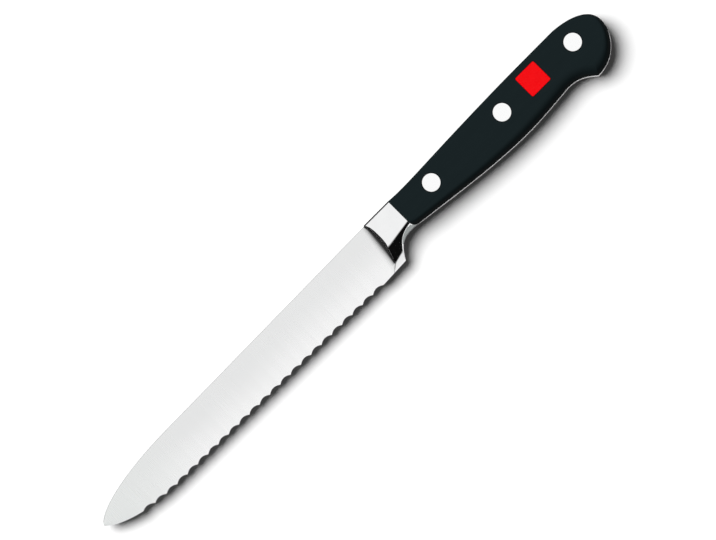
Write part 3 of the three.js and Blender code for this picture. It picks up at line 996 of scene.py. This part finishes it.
# The light that the studio gives: plain numbers, with directions as parts of a unit vector
AMBIENT = 0.06
CEILING_LEAN = 0.6
CEILING_FROM = 0.35
CEILING_FULL = 1.02
DARK_END = -0.6
DARK_END_EDGE = -0.15
DARK_END_CURVE = 1.3
WALL_FOOT = 0.12
WALL_TOP = 0.34
WALL_LEAST = 0.004
WALL_BEYOND_POINT = 0.03
WALL_BESIDE = 0.42


def add_camera():
    data = bpy.data.cameras.new("camera")
    data.sensor_fit = "HORIZONTAL"
    data.sensor_width = SENSOR
    data.lens = LENS
    camera = add_object("camera", data)
    back = Vector((0, -math.sin(VIEW_TILT), math.cos(VIEW_TILT)))
    along = Vector((math.sin(KNIFE_TURN), math.cos(KNIFE_TURN), 0))
    up = (along - back * along.dot(back)).normalized()
    right = up.cross(back)
    camera.matrix_world = Matrix((right, up, back)).transposed().to_4x4()
    camera.location = place(VIEW_MIDDLE) + back * (VIEW_WIDTH * LENS / SENSOR)
    bpy.context.scene.camera = camera


# A pale floor that looks white where the light reaches it and keeps the knife's shadow.
def add_floor():
    half = FLOOR_SIZE / 2
    mesh = bpy.data.meshes.new("floor")
    corners = [(-half, -half), (half, -half), (half, half), (-half, half)]
    mesh.from_pydata([(x, y, -FLOOR_GAP) for x, y in corners], [], [(0, 1, 2, 3)])
    material, nodes = new_finish("floor_white")
    camera, mirrored = eye_rays(nodes)
    colour = nodes.blend(camera + mirrored, FLOOR_BOUNCE, FLOOR_SEEN)
    shader = nodes.add("ShaderNodeBsdfDiffuse", {}, {"Color": colour})
    nodes.add("ShaderNodeOutputMaterial", {}, {"Surface": shader})
    mesh.materials.append(material)
    floor = add_object("floor", mesh)


# One large round soft lamp, on the side of the spine and the point.
def add_key_light():
    data = bpy.data.lights.new("key", "AREA")
    data.shape = "DISK"
    data.size = KEY_SIZE
    data.energy = KEY_POWER
    lamp = add_object("key", data)
    level = Vector((-math.sin(KEY_TURN), math.cos(KEY_TURN), 0))
    away = level * math.cos(KEY_ELEVATION) + Vector((0, 0, math.sin(KEY_ELEVATION)))
    lamp.location = away * KEY_DISTANCE
    lamp.rotation_euler = away.to_track_quat("Z", "Y").to_euler()
    lamp.visible_glossy = False


# The studio around the knife: a white ceiling, dim walls that are darkest beyond the point, and a white
# backdrop for the camera.
def add_studio():
    world = bpy.data.worlds.new("studio")
    bpy.context.scene.world = world
    nodes = Nodes(world)
    direction = nodes.add("ShaderNodeTexCoord", {}, {}, "Generated")
    x, y, z = nodes.split(direction)
    ceiling = nodes.rise(z + x * CEILING_LEAN, CEILING_FROM, CEILING_FULL)
    beside = nodes.rise(x + y * y * DARK_END_CURVE, DARK_END, DARK_END_EDGE)
    walls = WALL_LEAST + nodes.rise(z, WALL_FOOT, WALL_TOP) * (WALL_BEYOND_POINT + beside * WALL_BESIDE)
    reflected = walls + (1 - walls) * ceiling
    camera, mirrored = eye_rays(nodes)
    strength = camera + mirrored * reflected + (1 - camera - mirrored) * AMBIENT
    shader = nodes.add("ShaderNodeBackground", {}, {"Color": (1, 1, 1, 1), "Strength": strength})
    nodes.add("ShaderNodeOutputWorld", {}, {"Surface": shader})


# Adds a finished piece that stands for a CAD node.
def add_piece(name, mesh, node, finishes):
    for finish in finishes:
        mesh.materials.append(finish)
    mesh.polygons.foreach_set("use_smooth", [True] * len(mesh.polygons))
    mesh.set_sharp_from_angle(angle=SMOOTH_BELOW)
    piece = add_object(name, mesh)
    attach(piece, "root")
    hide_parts(node)
    return piece


# The blade up to its neck and the tang's edge are satin, the finger guard's underside is ground and painted
# dark as shade, and the rest is polished.
def add_forging():
    mesh = forging_mesh()
    add_piece("forging", mesh, "blade_forging", [satin, polished, ground_and_shaded])
    for face in mesh.polygons:
        spot = (face.center - ORIGIN) / MM
        on_blade = spot.x < neck_x(spot.y, SATIN_NECK_STEP)
        on_tang = spot.x > SCALE_CORNER_LENGTH
        behind_front = spot.x > bolster_front(spot.y) + GUARD_UNDERSIDE_MARGIN
        if on_blade or on_tang:
            face.material_index = SATIN
        # The guard's underside, which faces away from the lamp, gets the ground finish with painted shade.
        elif behind_front and face.normal.y < GUARD_UNDERSIDE_NORMAL:
            face.material_index = GROUND_AND_SHADED
        else:
            face.material_index = POLISHED


def add_rivet(rivet):
    for half, mesh in (("socket", socket_mesh()), ("pin", pin_mesh())):
        piece = add_piece(f"{rivet}_{half}", mesh, f"{rivet}_rivet_{half}", [bright])
        piece.location = place((*rivet_spot(rivet), 0))


satin = satin_blade_steel_painted_light()
polished = polished_bolster_steel()
ground_and_shaded = ground_edge_steel_painted_shade()
plastic = scale_plastic()
bright = rivet_steel()
red = inlay_red()
add_camera()
add_floor()
add_key_light()
add_studio()
add_forging()
add_piece("near_handle_scale", scale_mesh(1), "near_scale", [plastic])
add_piece("far_handle_scale", scale_mesh(-1), "far_scale", [plastic])
for rivet in RIVETS:
    add_rivet(rivet)
add_piece("inlay_plate", inlay_mesh(), "inlay", [red])
bpy.context.scene.view_settings.view_transform = "Standard"
